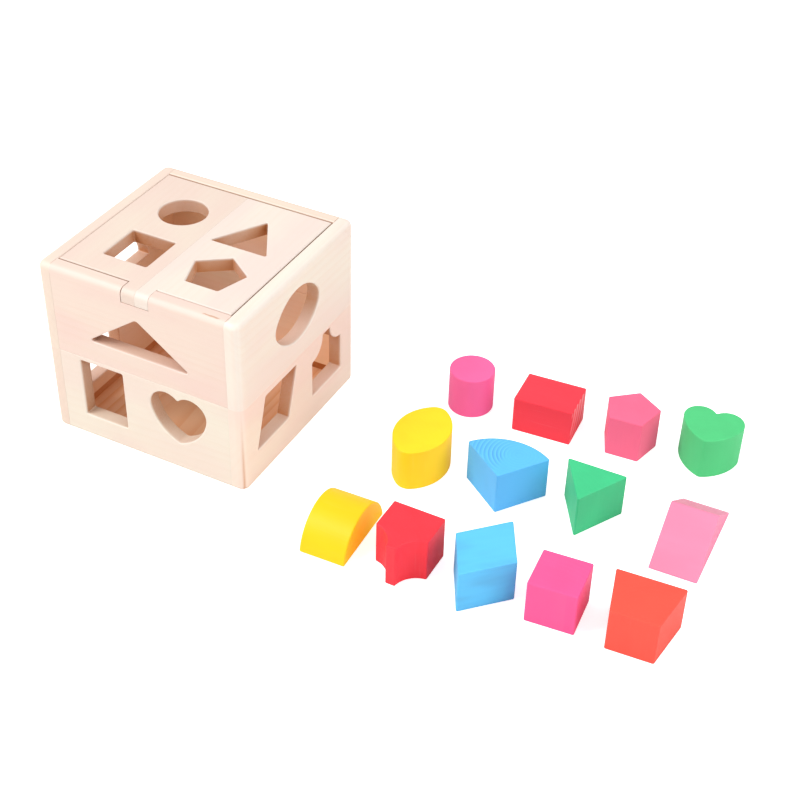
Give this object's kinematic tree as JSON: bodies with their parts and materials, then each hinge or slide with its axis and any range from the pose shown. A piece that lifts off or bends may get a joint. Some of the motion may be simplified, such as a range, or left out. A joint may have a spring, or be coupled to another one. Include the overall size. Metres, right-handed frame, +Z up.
{
  "type": "shape sorter",
  "caption": "Wooden shape sorter: a box with a hinged lid, shaped cut-outs in its lid and walls, and a set of painted blocks that each fit one cut-out.",
  "frame": {"origin": "centre of the box's underside", "axes": "+Z up, +X along the box's front towards the loose blocks, +Y from the front towards the hinged back"},
  "size_m": [0.3951, 0.2033, 0.117],
  "materials": {
    "pine": "bare sanded softwood, pale, fine straight grain",
    "plywood": "bare thin plywood",
    "steel": "plain drawn steel",
    "dowel_wood": "bare hardwood dowel",
    "paint_magenta": "satin water-based paint over wood, grain showing through",
    "paint_red": "satin water-based paint over wood, grain showing through",
    "paint_pink": "satin water-based paint over wood, grain showing through",
    "paint_green": "satin water-based paint over wood, grain showing through",
    "paint_yellow": "satin water-based paint over wood, grain showing through",
    "paint_blue": "satin water-based paint over wood, grain showing through",
    "paint_orange": "satin water-based paint over wood, grain showing through",
    "paint_light_pink": "satin water-based paint over wood, grain showing through"
  },
  "bodies": {
    "box": {"front_lower_board": "pine", "front_upper_board": "pine", "back_lower_board": "pine", "back_upper_board": "pine", "left_lower_board": "pine", "left_upper_board": "pine", "right_lower_board": "pine", "right_upper_board": "pine", "bottom_panel": "plywood", "corner_dowels": "dowel_wood"},
    "lid": {"lid_left_board": "pine", "lid_right_board": "pine", "hinge_pins": "steel"},
    "cylinder": {"block_cylinder": "paint_magenta"},
    "cuboid": {"block_cuboid": "paint_red"},
    "pentagon": {"block_pentagon": "paint_pink"},
    "heart": {"block_heart": "paint_green"},
    "oval": {"block_oval": "paint_yellow"},
    "quarter_round": {"block_quarter_round": "paint_blue"},
    "triangle": {"block_triangle": "paint_green"},
    "half_round": {"block_half_round": "paint_yellow"},
    "bell": {"block_bell": "paint_red"},
    "parallelogram": {"block_parallelogram": "paint_blue"},
    "cube": {"block_cube": "paint_magenta"},
    "trapezoid": {"block_trapezoid": "paint_orange"},
    "roof": {"block_roof": "paint_light_pink"}
  },
  "joints": [
    {"name": "lid_hinge", "type": "hinge", "parent": "box", "child": "lid", "pos_m": [0, 0.048, 0.1125], "axis": [-1, 0, 0], "range_deg": [0, 110]},
    {"name": "cylinder_lift", "type": "slide", "parent": "box", "child": "cylinder", "axis": [0, 0, 1], "range_m": [0, 0.16]},
    {"name": "cuboid_lift", "type": "slide", "parent": "box", "child": "cuboid", "axis": [0, 0, 1], "range_m": [0, 0.16]},
    {"name": "pentagon_lift", "type": "slide", "parent": "box", "child": "pentagon", "axis": [0, 0, 1], "range_m": [0, 0.16]},
    {"name": "heart_lift", "type": "slide", "parent": "box", "child": "heart", "axis": [0, 0, 1], "range_m": [0, 0.16]},
    {"name": "oval_lift", "type": "slide", "parent": "box", "child": "oval", "axis": [0, 0, 1], "range_m": [0, 0.16]},
    {"name": "quarter_round_lift", "type": "slide", "parent": "box", "child": "quarter_round", "axis": [0, 0, 1], "range_m": [0, 0.16]},
    {"name": "triangle_lift", "type": "slide", "parent": "box", "child": "triangle", "axis": [0, 0, 1], "range_m": [0, 0.16]},
    {"name": "half_round_lift", "type": "slide", "parent": "box", "child": "half_round", "axis": [0, 0, 1], "range_m": [0, 0.16]},
    {"name": "bell_lift", "type": "slide", "parent": "box", "child": "bell", "axis": [0, 0, 1], "range_m": [0, 0.16]},
    {"name": "parallelogram_lift", "type": "slide", "parent": "box", "child": "parallelogram", "axis": [0, 0, 1], "range_m": [0, 0.16]},
    {"name": "cube_lift", "type": "slide", "parent": "box", "child": "cube", "axis": [0, 0, 1], "range_m": [0, 0.16]},
    {"name": "trapezoid_lift", "type": "slide", "parent": "box", "child": "trapezoid", "axis": [0, 0, 1], "range_m": [0, 0.16]},
    {"name": "roof_lift", "type": "slide", "parent": "box", "child": "roof", "axis": [0, 0, 1], "range_m": [0, 0.16]}
  ]
}
